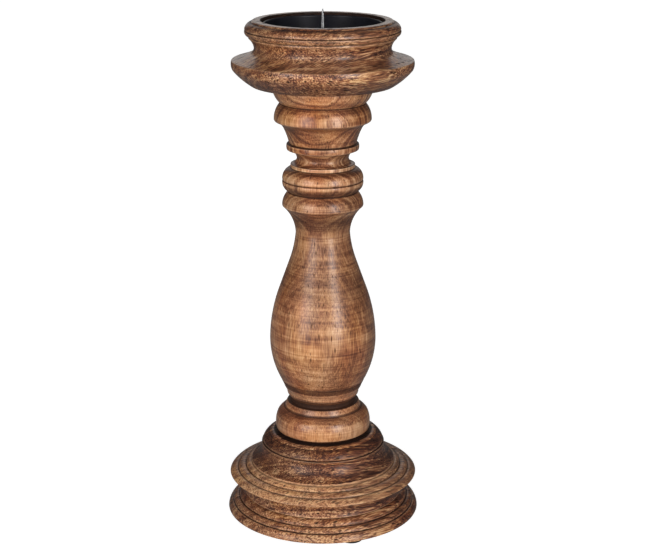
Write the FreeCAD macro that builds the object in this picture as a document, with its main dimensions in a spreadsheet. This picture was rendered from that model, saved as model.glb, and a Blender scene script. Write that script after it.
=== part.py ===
import FreeCAD, Part
import itertools
import os
import Sketcher

# Pricket candle stand, in millimetres.
# A turned base, a turned baluster column and a turned cup are joined on one axis by round tenons,
# each drawn tight by a wood screw. A pressed steel dish with a riveted spike lies loose in the cup.
# The origin is on the surface the stand rests on, under the middle of the base, and +Z points up.

# Sizes of the small parts, the joints and the hollows
SIZES = {
    # Rubber foot pads, each with a nail through it
    "pad_height": 3.0,
    "pad_radius": 8.0,
    "pad_inset": 10.7,
    "pad_ease": 0.7,
    "pad_recess_depth": 1.4,
    "nail_head_radius": 2.3,
    "nail_head_height": 0.8,
    "nail_head_gap": 0.6,
    "nail_shank_radius": 0.8,
    "nail_length": 8.5,
    "nail_point_length": 2.0,
    "nail_end_gap": 1.0,

    # Round tenons on the ends of the column, with room for glue past each end
    "tenon_radius": 12.0,
    "tenon_ease": 0.8,
    "tenon_fit": 0.05,
    "lower_tenon_length": 24.0,
    "upper_tenon_length": 9.0,
    "glue_gap": 0.3,

    # Wood screws and their washers, sunk in counterbores
    "screw_radius": 2.5,
    "screw_point_length": 5.0,
    "screw_point_share": 0.25,
    "screw_head_radius": 4.6,
    "screw_head_height": 2.8,
    "screw_head_ease": 0.9,
    "screw_slot_width": 1.1,
    "screw_slot_span": 5.2,
    "screw_slot_depth": 1.5,
    "screw_end_gap": 1.0,
    "base_screw_length": 60.0,
    "cup_screw_length": 38.0,
    "driven_fit": 0.05,
    "washer_radius": 7.5,
    "washer_height": 1.0,
    "washer_hole_gap": 0.3,
    "washer_gap": 1.0,
    "counterbore_ease": 0.5,
    "base_counterbore_depth": 12.0,
    "cup_floor_thickness": 3.8,

    # Pressed steel dish, and the recess for it in the cup
    "cup_recess_radius": 40.85,
    "cup_recess_ease": 0.35,
    "dish_seat_gap": 0.3,
    "dish_side_gap": 0.55,
    "dish_rim_drop": 1.6,
    "dish_thickness": 0.9,
    "dish_corner_radius": 3.2,
    "dish_draft": 0.6,
    "dish_lip_width": 0.9,
    "dish_lip_height": 1.3,
    "dish_lip_crown_share": 0.42,

    # Spike, riveted through the dish floor
    "spike_length": 28.3,
    "spike_root_radius": 2.6,
    "spike_tip_radius": 0.35,
    "spike_collar_radius": 3.6,
    "spike_collar_height": 1.3,
    "spike_collar_ease": 0.6,
    "spike_shank_radius": 1.8,
    "spike_fit": 0.05,
    "rivet_head_radius": 3.0,
    "rivet_head_height": 1.2,
    "rivet_face_radius": 1.5,
    "rivet_gap": 1.8,
    "spike_washer_radius": 5.0,
    "spike_washer_height": 1.0,
}

# Sizes of the turned members, from the bottom of each piece up: the radius at the member's top, which
# is the one below it where none is given, its height and, where its face is curved, how far the curve
# stands proud of its chord (crown) or falls behind it (hollow), as a share of the chord.
BASE_TURNING = {
    "base_foot_radius": 67.7,
    "base_land_height": 0.4,
    "base_rim_bead_radius": 64.7, "base_rim_bead_height": 5.3, "base_rim_bead_crown_share": 0.1,
    "base_outer_bead_radius": 60.4, "base_outer_bead_height": 3.3, "base_outer_bead_crown_share": 0.12,
    "base_inner_bead_radius": 55.7, "base_inner_bead_height": 3.7, "base_inner_bead_crown_share": 0.12,
    "base_scotia_radius": 66.3, "base_scotia_height": 13.9, "base_scotia_hollow_share": 0.3,
    "base_edge_bead_radius": 60.9, "base_edge_bead_height": 3.8, "base_edge_bead_crown_share": 0.09,
    "base_middle_bead_radius": 55.2, "base_middle_bead_height": 2.1, "base_middle_bead_crown_share": 0.07,
    "base_top_bead_radius": 51.3, "base_top_bead_height": 2.7, "base_top_bead_crown_share": 0.07,
    "base_ridge_radius": 50.3, "base_ridge_height": 1.0,
    "base_cove_radius": 43.1, "base_cove_height": 11.2, "base_cove_hollow_share": 0.14,
    "base_fillet_radius": 43.4, "base_fillet_height": 1.8, "base_fillet_crown_share": 0.1,
    "base_nick_radius": 42.4, "base_nick_height": 0.6,
    "base_arris_radius": 42.8, "base_arris_height": 0.6,
    "base_torus_radius": 38.1, "base_torus_height": 5.6, "base_torus_crown_share": 0.09,
    "base_seat_step_radius": 37.7, "base_seat_step_height": 0.2,
    "base_seat_bead_radius": 35.2, "base_seat_bead_height": 1.4, "base_seat_bead_crown_share": 0.12,
}

COLUMN_TURNING = {
    "column_foot_radius": 29.5,
    "column_foot_recess_radius": 30.0, "column_foot_recess_height": 1.6,
    "column_foot_lip_radius": 32.9, "column_foot_lip_height": 0.8,
    "column_foot_torus_radius": 31.8, "column_foot_torus_height": 11.4,
    "column_foot_torus_crown_share": 0.083,
    "column_shoulder_radius": 28.0, "column_shoulder_height": 3.6, "column_shoulder_crown_share": 0.05,
    "column_foot_nick_radius": 27.0, "column_foot_nick_height": 0.7,
    "column_band_step_radius": 26.6, "column_band_step_height": 0.8,
    "column_band_radius": 25.0, "column_band_height": 3.4, "column_band_crown_share": 0.03,
    "column_band_groove_radius": 22.8, "column_band_groove_height": 0.8,
    "column_ankle_cove_radius": 24.8, "column_ankle_cove_height": 5.0,
    "column_ankle_cove_hollow_share": 0.14,
    "column_ankle_radius": 25.2, "column_ankle_height": 2.1, "column_ankle_crown_share": 0.05,
    "column_calf_radius": 29.9, "column_calf_height": 9.5, "column_calf_hollow_share": 0.035,
    "column_calf_nick_radius": 29.6, "column_calf_nick_height": 0.2,
    "column_calf_arris_radius": 29.9, "column_calf_arris_height": 0.2,
    "column_belly_radius": 36.9, "column_belly_height": 29.7, "column_belly_crown_share": 0.062,
    "column_breast_radius": 29.6, "column_breast_height": 36.9, "column_breast_crown_share": 0.043,
    "column_taper_radius": 23.3, "column_taper_height": 17.5,
    "column_waist_radius": 18.67, "column_waist_height": 20.6, "column_waist_hollow_share": 0.034,
    "column_flare_radius": 27.4, "column_flare_height": 18.8, "column_flare_hollow_share": 0.1,
    "column_bead_lip_radius": 27.8, "column_bead_lip_height": 0.8, "column_bead_lip_crown_share": 0.1,
    "column_bead_radius": 23.6, "column_bead_height": 9.2, "column_bead_crown_share": 0.105,
    "column_ring_groove_height": 0.4,
    "column_ring_low_radius": 28.1, "column_ring_low_height": 7.4, "column_ring_low_crown_share": 0.164,
    "column_ring_nick_radius": 27.7, "column_ring_nick_height": 0.25,
    "column_ring_arris_radius": 28.1, "column_ring_arris_height": 0.25,
    "column_ring_high_radius": 22.6, "column_ring_high_height": 8.2, "column_ring_high_crown_share": 0.165,
    "column_ring_step_radius": 21.9, "column_ring_step_height": 0.2,
    "column_neck_band_height": 2.4, "column_neck_band_crown_share": 0.03,
    "column_neck_step_radius": 21.2, "column_neck_step_height": 0.1,
    "column_neck_low_radius": 17.6, "column_neck_low_height": 3.9, "column_neck_low_hollow_share": 0.155,
    "column_neck_high_radius": 24.4, "column_neck_high_height": 6.0, "column_neck_high_hollow_share": 0.19,
    "column_bell_band_radius": 24.5, "column_bell_band_height": 3.8, "column_bell_band_crown_share": 0.07,
    "column_bell_step_radius": 22.9, "column_bell_step_height": 0.6,
    "column_bell_radius": 26.8, "column_bell_height": 10.8, "column_bell_hollow_share": 0.03,
    "column_bell_lip_radius": 32.2, "column_bell_lip_height": 4.3, "column_bell_lip_hollow_share": 0.1,
    "column_collar_lip_radius": 33.0, "column_collar_lip_height": 1.5,
    "column_collar_lip_crown_share": 0.15,
    "column_collar_bead_radius": 28.9, "column_collar_bead_height": 10.7,
    "column_collar_bead_crown_share": 0.092,
    "column_collar_groove_radius": 29.0, "column_collar_groove_height": 0.2,
    "column_collar_radius": 34.0, "column_collar_height": 9.3, "column_collar_crown_share": 0.085,
    "column_head_height": 2.7,
}

# The cup's outside is set out from the wall of its recess: in place of a radius, each member has the
# thickness of the wood there.
CUP_TURNING = {
    "cup_foot_wall": 7.15,
    "cup_bowl_wall": 19.45, "cup_bowl_height": 10.45, "cup_bowl_crown_share": 0.04,
    "cup_edge_wall": 20.0, "cup_edge_height": 6.1, "cup_edge_crown_share": 0.105,
    "cup_disc_wall": 7.15, "cup_disc_height": 4.45, "cup_disc_hollow_share": 0.02,
    "cup_cove_wall": 4.95, "cup_cove_height": 3.9, "cup_cove_hollow_share": 0.1,
    "cup_flare_wall": 8.95, "cup_flare_height": 6.7, "cup_flare_hollow_share": 0.05,
    "cup_flare_nick_wall": 8.75, "cup_flare_nick_height": 0.3,
    "cup_flare_arris_wall": 9.35, "cup_flare_arris_height": 0.3,
    "cup_roll_low_wall": 11.75, "cup_roll_low_height": 4.1, "cup_roll_low_crown_share": 0.15,
    "cup_roll_nick_wall": 11.35, "cup_roll_nick_height": 0.15,
    "cup_roll_arris_wall": 11.75, "cup_roll_arris_height": 0.15,
    "cup_roll_wall": 7.15, "cup_roll_height": 4.9, "cup_roll_crown_share": 0.155,
    "cup_land_nick_wall": 6.75, "cup_land_nick_height": 0.1,
    "cup_land_step_wall": 6.45, "cup_land_step_height": 0.5,
    "cup_land_wall": 5.55, "cup_land_height": 0.7,
}

# Foot pads stand evenly round the base, the first a little to the right of the front.
PAD_COUNT = 4
FIRST_PAD_ANGLE = -70.0
FULL_TURN = 360.0

doc = FreeCAD.newDocument("pricket_candle_stand")
sheet = doc.addObject("Spreadsheet::Sheet", "Sizes")
sheet_rows = itertools.count(1)


def put(name, text):
    """Write one size, or a formula of other sizes, in the sheet under its own name."""
    row = next(sheet_rows)
    sheet.set(f"A{row}", name)
    sheet.set(f"B{row}", text)
    sheet.setAlias(f"B{row}", name)


def size(name):
    """Give the present value of a named size."""
    return float(sheet.get(name))


def cell(name):
    """Give the expression that binds a property to a named size."""
    return f"{sheet.Name}.{name}"


def turned_members(turning, piece):
    """List a turned piece's members in the order in which they are written."""
    endings = [key for key in turning if key.endswith("_height")]
    return [key[len(piece) + 1:-len("_height")] for key in endings]


def put_turning(turning, piece):
    """Add each member's radius, the level of its top and, where it is curved, its bow to the sheet."""
    radius = f"{piece}_foot_radius"
    level = f"{piece}_foot_level"
    for member in turned_members(turning, piece):
        stem = f"{piece}_{member}"
        if f"{stem}_radius" not in turning:
            walled = f"{stem}_wall" in turning
            put(f"{stem}_radius", f"=cup_recess_radius + {stem}_wall" if walled else f"={radius}")
        put(f"{stem}_level", f"={level} + {stem}_height")
        for bend in ("crown", "hollow"):
            share = f"{stem}_{bend}_share"
            if share in turning:
                chord = f"sqrt(({stem}_radius - {radius})^2 + {stem}_height^2)"
                put(f"{stem}_bow", f"={chord} * (1 / (8 * {share}) + {share} / 2)")
        radius = f"{stem}_radius"
        level = f"{stem}_level"
    put(f"{piece}_top_level", f"={level}")


def turned_profile(turning, piece):
    """Give a turned piece's corners and the bows between them, from its foot to its top."""
    corners = [(f"{piece}_foot_radius", f"{piece}_foot_level")]
    bows = {}
    for member in turned_members(turning, piece):
        stem = f"{piece}_{member}"
        crowned = f"{stem}_crown_share" in turning
        if crowned or f"{stem}_hollow_share" in turning:
            bows[len(corners) - 1] = (f"{stem}_bow", crowned)
        corners.append((f"{stem}_radius", f"{stem}_level"))
    return corners, bows


def bow_crest(start, end, radius, crowned):
    """Find the middle point of an arc from start to end that stands right or left of its chord."""
    chord = end.sub(start)
    half = chord.Length / 2
    rise = radius - (radius**2 - half**2) ** 0.5
    across = FreeCAD.Vector(chord.y, -chord.x, 0).normalize()
    middle = start.add(end).multiply(1 / 2)
    return middle.add(across.multiply(rise if crowned else -rise))


def draw_outline(sketch, corners, bows=None):
    """Draw a closed outline through corners given by named sizes, and bind it to the sheet.

    A corner is a pair of names, across and up, and None stands for zero. bows gives, by the number
    of the corner that an arc starts from, the name of its radius and whether it is crowned.
    """
    bows = bows or {}
    places = [FreeCAD.Vector(size(across) if across else 0, size(up) if up else 0, 0)
              for across, up in corners]
    ends = []
    for number, start in enumerate(places):
        end = places[(number + 1) % len(places)]
        if number in bows:
            radius, crowned = bows[number]
            crest = bow_crest(start, end, size(radius), crowned)
            sketch.addGeometry(Part.Arc(start, crest, end))
        else:
            sketch.addGeometry(Part.LineSegment(start, end))
        gaps = [sketch.getPoint(number, end_number).distanceToPoint(start) for end_number in (1, 2)]
        ends.append((1, 2) if gaps[0] <= gaps[1] else (2, 1))

    for number in range(len(places)):
        following = (number + 1) % len(places)
        sketch.addConstraint(
            Sketcher.Constraint("Coincident", number, ends[number][1], following, ends[following][0]))
    for number, (across, up) in enumerate(corners):
        first = ends[number][0]
        for kind, name, axis in (("DistanceX", across, -2), ("DistanceY", up, -1)):
            if name is None:
                sketch.addConstraint(Sketcher.Constraint("PointOnObject", number, first, axis))
            else:
                index = sketch.addConstraint(Sketcher.Constraint(kind, -1, 1, number, first, size(name)))
                sketch.setExpression(f"Constraints[{index}]", cell(name))
    for number, (radius, crowned) in bows.items():
        index = sketch.addConstraint(Sketcher.Constraint("Radius", number, size(radius)))
        sketch.setExpression(f"Constraints[{index}]", cell(radius))


def origin_part(body, role):
    """Find one of a body's own origin planes or axes."""
    return next(part for part in body.Origin.OriginFeatures if part.Role == role)


def new_body(label, level=None):
    """Start a sub-part, standing at a named level."""
    body = doc.addObject("PartDesign::Body", label)
    body.Label = label
    if level:
        body.setExpression("Placement.Base.z", cell(level))
    return body


def turn(body, name, corners, bows=None, offset=None, cut=False):
    """Spin an outline round the body's axis, or round a line beside it, as new material or as a cut."""
    sketch = body.newObject("Sketcher::SketchObject", f"{name}_outline")
    sketch.AttachmentSupport = [(origin_part(body, "XZ_Plane"), "")]
    sketch.MapMode = "FlatFace"
    if offset:
        sketch.setExpression("AttachmentOffset.Base.x", cell(offset))
    doc.recompute()
    draw_outline(sketch, corners, bows)
    before = body.Shape.Volume if cut else 0
    feature = body.newObject("PartDesign::Groove" if cut else "PartDesign::Revolution", name)
    feature.Profile = sketch
    feature.ReferenceAxis = (sketch, ["V_Axis"])
    feature.Angle = FULL_TURN
    doc.recompute()
    if cut and body.Shape.Volume >= before:
        raise ValueError(f"{name} cuts nothing")
    return feature


def cut_slot(body, name, along, across):
    """Cut one arm of a cross slot in a screw's head, along X or along Y."""
    slot = body.newObject("PartDesign::SubtractiveBox", name)
    slot.AttachmentSupport = [(origin_part(body, "XY_Plane"), "")]
    slot.MapMode = "FlatFace"
    slot.setExpression("Length", cell(f"screw_slot_{along}"))
    slot.setExpression("Width", cell(f"screw_slot_{across}"))
    slot.setExpression("Height", cell("screw_slot_depth"))
    slot.setExpression("AttachmentOffset.Base.x", f"-{cell(f'slot_half_{along}')}")
    slot.setExpression("AttachmentOffset.Base.y", f"-{cell(f'slot_half_{across}')}")
    before = body.Shape.Volume
    doc.recompute()
    if body.Shape.Volume >= before:
        raise ValueError(f"{name} cuts nothing")


def repeat_round(body, name, feature):
    """Repeat a feature evenly round the body's upright axis, once for each foot pad."""
    pattern = body.newObject("PartDesign::PolarPattern", name)
    pattern.Originals = [feature]
    pattern.Axis = (origin_part(body, "Z_Axis"), [""])
    pattern.Angle = FULL_TURN
    pattern.Occurrences = PAD_COUNT
    body.Tip = pattern
    doc.recompute()
    return pattern


for sizes in (SIZES, BASE_TURNING, COLUMN_TURNING, CUP_TURNING):
    for size_name, size_value in sizes.items():
        put(size_name, str(size_value))
put("first_pad_angle", str(FIRST_PAD_ANGLE))

# Levels of the turned members, each measured from its own piece's underside. The column's is the
# end of its lower tenon, and its foot, where the turned members begin, is a tenon's length above.
put("base_foot_level", "=0")
put("column_foot_level", "=lower_tenon_length")
put("cup_foot_level", "=0")
put("cup_foot_radius", "=cup_recess_radius + cup_foot_wall")
put_turning(BASE_TURNING, "base")
put_turning(COLUMN_TURNING, "column")
put_turning(CUP_TURNING, "cup")

# Tenons and sockets, and where the column and the cup stand
put("column_rest_level", "=pad_height + base_top_level - lower_tenon_length")
put("column_end_level", "=column_top_level + upper_tenon_length")
put("column_end_ease_level", "=column_end_level - tenon_ease")
put("tenon_end_radius", "=tenon_radius - tenon_ease")
put("cup_rest_level", "=column_rest_level + column_top_level")
put("socket_radius", "=tenon_radius + tenon_fit")
put("base_socket_level", "=base_top_level - lower_tenon_length - glue_gap")
put("cup_socket_level", "=upper_tenon_length + glue_gap")

# Counterbores and the dish's recess. The cup's counterbore holds its screw's head and washer, and
# above them the riveted end of the spike's shank hangs below the recess.
put("counterbore_radius", "=washer_radius + washer_gap")
put("counterbore_mouth_radius", "=counterbore_radius + counterbore_ease")
put("cup_counterbore_level", "=cup_socket_level + cup_floor_thickness")
put("cup_screw_head_top_level", "=cup_counterbore_level + washer_height + screw_head_height")
put("rivet_level", "=cup_screw_head_top_level + rivet_gap")
put("dish_level", "=rivet_level + rivet_head_height + spike_washer_height")
put("cup_recess_level", "=dish_level - dish_seat_gap")
put("cup_recess_mouth_radius", "=cup_recess_radius + cup_recess_ease")
put("cup_recess_mouth_level", "=cup_top_level - cup_recess_ease")

# Screws, washers and the holes that the screws are driven into
put("driven_radius", "=screw_radius + driven_fit")
put("screw_face_radius", "=screw_head_radius - screw_head_ease")
put("screw_tip_radius", "=screw_radius * screw_point_share")
put("slot_half_width", "=screw_slot_width / 2")
put("slot_half_span", "=screw_slot_span / 2")
put("washer_hole_radius", "=screw_radius + washer_hole_gap")
for screw in ("base_screw", "cup_screw"):
    put(f"{screw}_end_level", f"=screw_head_height + {screw}_length")
    put(f"{screw}_point_level", f"={screw}_end_level - screw_point_length")
put("base_screw_washer_rest_level", "=pad_height + base_counterbore_depth - washer_height")
put("base_screw_rest_level", "=base_screw_washer_rest_level - screw_head_height")
put("base_screw_reach", "=base_screw_rest_level + base_screw_end_level + screw_end_gap - column_rest_level")
put("cup_screw_washer_rest_level", "=cup_rest_level + cup_counterbore_level")
put("cup_screw_rest_level", "=cup_rest_level + cup_screw_head_top_level")
put("cup_screw_reach", "=cup_screw_rest_level - cup_screw_end_level - screw_end_gap - column_rest_level")

# Pads and nails, inset from the edge of the base
put("pad_circle_radius", "=base_foot_radius - pad_inset")
put("pad_sole_radius", "=pad_radius - pad_ease")
put("nail_hole_radius", "=nail_shank_radius + driven_fit")
put("nail_recess_radius", "=nail_head_radius + nail_head_gap")
put("nail_rest_level", "=pad_recess_depth - nail_head_height")
put("nail_end_level", "=nail_head_height + nail_length")
put("nail_point_level", "=nail_end_level - nail_point_length")
put("nail_hole_level", "=nail_rest_level + nail_end_level + nail_end_gap - pad_height")

# Dish
put("dish_rest_level", "=cup_rest_level + dish_level")
put("dish_height", "=cup_top_level - dish_level - dish_rim_drop")
put("dish_hole_radius", "=spike_shank_radius + spike_fit")
put("dish_lip_radius", "=cup_recess_radius - dish_side_gap")
put("dish_wall_radius", "=dish_lip_radius - dish_lip_width")
put("dish_inner_wall_radius", "=dish_wall_radius - dish_thickness")
put("dish_foot_radius", "=dish_wall_radius - dish_draft")
put("dish_inner_foot_radius", "=dish_foot_radius - dish_thickness")
put("dish_floor_radius", "=dish_foot_radius - dish_corner_radius")
put("dish_inner_corner_radius", "=dish_corner_radius - dish_thickness")
put("dish_lip_level", "=dish_height - dish_lip_height")
put("dish_lip_span", "=dish_lip_radius - dish_inner_wall_radius")
put("dish_lip_bow", "=dish_lip_span * (1 / (8 * dish_lip_crown_share) + dish_lip_crown_share / 2)")
put("dish_crown_level", "=dish_height - dish_lip_span * dish_lip_crown_share")

# Spike
put("spike_washer_rest_level", "=dish_rest_level - spike_washer_height")
put("spike_rest_level", "=spike_washer_rest_level - rivet_head_height")
put("spike_collar_level", "=rivet_head_height + spike_washer_height + dish_thickness")
put("spike_collar_top_level", "=spike_collar_level + spike_collar_height")
put("spike_collar_edge_level", "=spike_collar_top_level - spike_collar_ease")
put("spike_end_level", "=spike_collar_level + spike_length")
put("spike_tip_level", "=spike_end_level - spike_tip_radius")
doc.recompute()

parts = []

# Foot pads: round rubber pads, each with a recess in its sole for a nail's head
for number in range(PAD_COUNT):
    pad = new_body(f"foot_pad_{number + 1}")
    angle = f"({cell('first_pad_angle')} + {number} * {FULL_TURN} / {PAD_COUNT}) * 1 deg"
    pad.setExpression("Placement.Base.x", f"{cell('pad_circle_radius')} * cos({angle})")
    pad.setExpression("Placement.Base.y", f"{cell('pad_circle_radius')} * sin({angle})")
    turn(pad, "moulded_pad", [
        ("nail_recess_radius", None),
        ("pad_sole_radius", None),
        ("pad_radius", "pad_ease"),
        ("pad_radius", "pad_height"),
        ("nail_hole_radius", "pad_height"),
        ("nail_hole_radius", "pad_recess_depth"),
        ("nail_recess_radius", "pad_recess_depth"),
    ], bows={1: ("pad_ease", True)})
    parts.append(pad)

# Foot pad nails: one driven up through each pad into the base
nails = new_body("foot_pad_nails", "nail_rest_level")
nails.AllowCompound = True
nails.setExpression("Placement.Rotation.Angle", cell("first_pad_angle"))
nail = turn(nails, "headed_nail", [
    (None, None),
    ("nail_head_radius", None),
    ("nail_head_radius", "nail_head_height"),
    ("nail_shank_radius", "nail_head_height"),
    ("nail_shank_radius", "nail_point_level"),
    (None, "nail_end_level"),
], offset="pad_circle_radius")
repeat_round(nails, "nails_round_base", nail)
parts.append(nails)

# Base: a foot turned in two steps, counterbored for its screw and socketed for the column
base = new_body("base", "pad_height")
base.setExpression("Placement.Rotation.Angle", cell("first_pad_angle"))
corners, bows = turned_profile(BASE_TURNING, "base")
turn(base, "turned_base", corners + [(None, "base_top_level"), (None, None)], bows)
turn(base, "screw_and_tenon_bore", [
    (None, None),
    ("counterbore_mouth_radius", None),
    ("counterbore_radius", "counterbore_ease"),
    ("counterbore_radius", "base_counterbore_depth"),
    ("driven_radius", "base_counterbore_depth"),
    ("driven_radius", "base_socket_level"),
    ("socket_radius", "base_socket_level"),
    ("socket_radius", "base_top_level"),
    (None, "base_top_level"),
], cut=True)
nail_hole = turn(base, "nail_hole", [
    (None, None),
    ("nail_hole_radius", None),
    ("nail_hole_radius", "nail_hole_level"),
    (None, "nail_hole_level"),
], offset="pad_circle_radius", cut=True)
repeat_round(base, "nail_holes", nail_hole)
parts.append(base)

# Column: a turned baluster with a tenon at each end, bored for the two screws
column = new_body("column", "column_rest_level")
lower_tenon = [
    (None, None),
    ("tenon_end_radius", None),
    ("tenon_radius", "tenon_ease"),
    ("tenon_radius", "lower_tenon_length"),
]
upper_tenon = [
    ("tenon_radius", "column_top_level"),
    ("tenon_radius", "column_end_ease_level"),
    ("tenon_end_radius", "column_end_level"),
    (None, "column_end_level"),
]
corners, bows = turned_profile(COLUMN_TURNING, "column")
bows = {number + len(lower_tenon): bow for number, bow in bows.items()}
turn(column, "turned_column", lower_tenon + corners + upper_tenon, bows)
turn(column, "lower_screw_hole", [
    (None, None),
    ("driven_radius", None),
    ("driven_radius", "base_screw_reach"),
    (None, "base_screw_reach"),
], cut=True)
turn(column, "upper_screw_hole", [
    (None, "cup_screw_reach"),
    ("driven_radius", "cup_screw_reach"),
    ("driven_radius", "column_end_level"),
    (None, "column_end_level"),
], cut=True)
parts.append(column)

# Cup: a turned bowl with a rolled rim, hollowed for the dish
cup = new_body("cup", "cup_rest_level")
corners, bows = turned_profile(CUP_TURNING, "cup")
turn(cup, "turned_cup", corners + [(None, "cup_top_level"), (None, None)], bows)
turn(cup, "dish_recess_and_bores", [
    (None, None),
    ("socket_radius", None),
    ("socket_radius", "cup_socket_level"),
    ("driven_radius", "cup_socket_level"),
    ("driven_radius", "cup_counterbore_level"),
    ("counterbore_radius", "cup_counterbore_level"),
    ("counterbore_radius", "cup_recess_level"),
    ("cup_recess_radius", "cup_recess_level"),
    ("cup_recess_radius", "cup_recess_mouth_level"),
    ("cup_recess_mouth_radius", "cup_top_level"),
    (None, "cup_top_level"),
], cut=True)
parts.append(cup)

# Screws: wood screws with a domed head and a cross slot, each with a washer under its head
for name in ("base_screw", "cup_screw"):
    screw = new_body(name, f"{name}_rest_level")
    turn(screw, "shank_and_head", [
        (None, None),
        ("screw_face_radius", None),
        ("screw_head_radius", "screw_head_ease"),
        ("screw_head_radius", "screw_head_height"),
        ("screw_radius", "screw_head_height"),
        ("screw_radius", f"{name}_point_level"),
        ("screw_tip_radius", f"{name}_end_level"),
        (None, f"{name}_end_level"),
    ], bows={1: ("screw_head_ease", True)})
    cut_slot(screw, "first_slot", "span", "width")
    cut_slot(screw, "second_slot", "width", "span")
    parts.append(screw)

    washer = new_body(f"{name}_washer", f"{name}_washer_rest_level")
    turn(washer, "flat_washer", [
        ("washer_hole_radius", None),
        ("washer_radius", None),
        ("washer_radius", "washer_height"),
        ("washer_hole_radius", "washer_height"),
    ])
    parts.append(washer)

# The cup's screw points down into the column.
doc.getObject("cup_screw").Placement.Rotation = FreeCAD.Rotation(FreeCAD.Vector(1, 0, 0), FULL_TURN / 2)

# Candle dish: pressed steel with a lip rolled over outwards, loose in the cup
dish = new_body("candle_dish", "dish_rest_level")
turn(dish, "pressed_dish", [
    ("dish_hole_radius", None),
    ("dish_floor_radius", None),
    ("dish_foot_radius", "dish_corner_radius"),
    ("dish_wall_radius", "dish_lip_level"),
    ("dish_lip_radius", "dish_lip_level"),
    ("dish_lip_radius", "dish_crown_level"),
    ("dish_inner_wall_radius", "dish_crown_level"),
    ("dish_inner_foot_radius", "dish_corner_radius"),
    ("dish_floor_radius", "dish_thickness"),
    ("dish_hole_radius", "dish_thickness"),
], bows={
    1: ("dish_corner_radius", True),
    5: ("dish_lip_bow", True),
    7: ("dish_inner_corner_radius", False),
})
parts.append(dish)

# Pricket: a steel cone with a collar, its shank riveted over a washer under the dish
spike = new_body("pricket", "spike_rest_level")
turn(spike, "turned_spike", [
    (None, None),
    ("rivet_face_radius", None),
    ("rivet_head_radius", "rivet_head_height"),
    ("spike_shank_radius", "rivet_head_height"),
    ("spike_shank_radius", "spike_collar_level"),
    ("spike_collar_radius", "spike_collar_level"),
    ("spike_collar_radius", "spike_collar_edge_level"),
    ("spike_root_radius", "spike_collar_top_level"),
    ("spike_tip_radius", "spike_tip_level"),
    (None, "spike_end_level"),
], bows={8: ("spike_tip_radius", True)})
parts.append(spike)

# Pricket washer: between the dish and the riveted end of the shank
spike_washer = new_body("pricket_washer", "spike_washer_rest_level")
turn(spike_washer, "flat_washer", [
    ("dish_hole_radius", None),
    ("spike_washer_radius", None),
    ("spike_washer_radius", "spike_washer_height"),
    ("dish_hole_radius", "spike_washer_height"),
])
parts.append(spike_washer)

# Check the document, then write each sub-part
doc.recompute()
failed = [item.Name for item in doc.Objects if "Invalid" in item.State or "Error" in item.State]
if failed:
    raise ValueError(f"not solved: {failed}")
for part in parts:
    if part.Shape.isNull() or not part.Shape.isValid():
        raise ValueError(f"{part.Label} has no valid shape")

os.makedirs("parts", exist_ok=True)
for part in parts:
    part.Shape.exportStep(f"parts/{part.Label}.step")
    box = part.Shape.BoundBox
    print(f"{part.Label}: {len(part.Shape.Solids)} solid(s), volume {part.Shape.Volume:.1f}, "
          f"radius {box.XMax:.2f}, from {box.ZMin:.2f} to {box.ZMax:.2f}")
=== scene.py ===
import math

import bpy
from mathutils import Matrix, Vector


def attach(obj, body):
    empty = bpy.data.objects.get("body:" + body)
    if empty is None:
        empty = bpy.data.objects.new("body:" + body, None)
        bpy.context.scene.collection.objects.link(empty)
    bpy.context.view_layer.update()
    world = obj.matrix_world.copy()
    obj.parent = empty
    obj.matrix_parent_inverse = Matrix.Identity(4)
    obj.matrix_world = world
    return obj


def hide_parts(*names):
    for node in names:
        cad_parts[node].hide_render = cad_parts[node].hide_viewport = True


# A turned pricket candle stand: a dark stained base and cup, a tan stained baluster column, a black
# enamelled dish and a bare steel spike. Every length is in millimetres until it is drawn, but those of
# the studio are in metres.

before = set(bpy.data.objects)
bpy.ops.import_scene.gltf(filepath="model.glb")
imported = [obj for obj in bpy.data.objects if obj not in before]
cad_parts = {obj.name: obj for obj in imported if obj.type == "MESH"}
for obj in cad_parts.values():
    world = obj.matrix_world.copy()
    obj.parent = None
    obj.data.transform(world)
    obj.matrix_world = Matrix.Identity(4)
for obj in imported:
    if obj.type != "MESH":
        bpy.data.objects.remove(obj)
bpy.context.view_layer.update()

MM = 0.001

# The kinds of node that are used most
MATH = "ShaderNodeMath"
VECTOR = "ShaderNodeVectorMath"
NOISE = "ShaderNodeTexNoise"
RANGE = "ShaderNodeMapRange"
MIX = "ShaderNodeMix"

# Drawing of turned outlines. The bow of a quarter circle is a share of its chord, as every bow is, and
# the weld distance is in metres
STROKE_LENGTH = 0.9
LONGEST_STROKE = 1.3 * STROKE_LENGTH
ARC_STEPS = 8
SWEEP_STEPS = 180
SMALL_SWEEP_STEPS = 72
QUARTER_ROUND = 0.2071
WELD_DISTANCE = 1e-6
SMOOTH_ANGLE = math.radians(38)

# A corner sharper than this is eased by the first of these lengths that takes up no more than this
# share of either side
CORNER_ANGLE = math.radians(13)
EASES = (0.3, 0.2, 0.12, 0.06, 0.03)
EASE_SHARE = 0.42
EASE_SEGMENTS = 3

# V-lines scored between the beads
LINE_HALF_WIDTH = 0.85
LINE_DEPTH = 1.1

# How far round a point its surface is judged to stand proud or to lie in a hollow, and how many of
# these spans away a neighbour still counts
FINE_SPAN = 0.55
BROAD_SPAN = 4.5
SPANS_COUNTED = 3

# A member's tone fades into the next one's over this height, but not where it is this dark, with dark
# wax and painted shade. It moves the colour of the wood by this share
FADE = 8.0
WAX_AND_SHADE_TONE = -0.65
TONE_SHARE = 0.16

# Levels of the pieces, from the table up
BASE_UNDERSIDE = 3.0
COLUMN_SEAT = 60.6
CUP_SEAT = 307.2
CUP_FLOOR = 327.8
DISH_UNDERSIDE = 328.1
DISH_FLOOR = 329.0
RIM = 350.0

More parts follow.
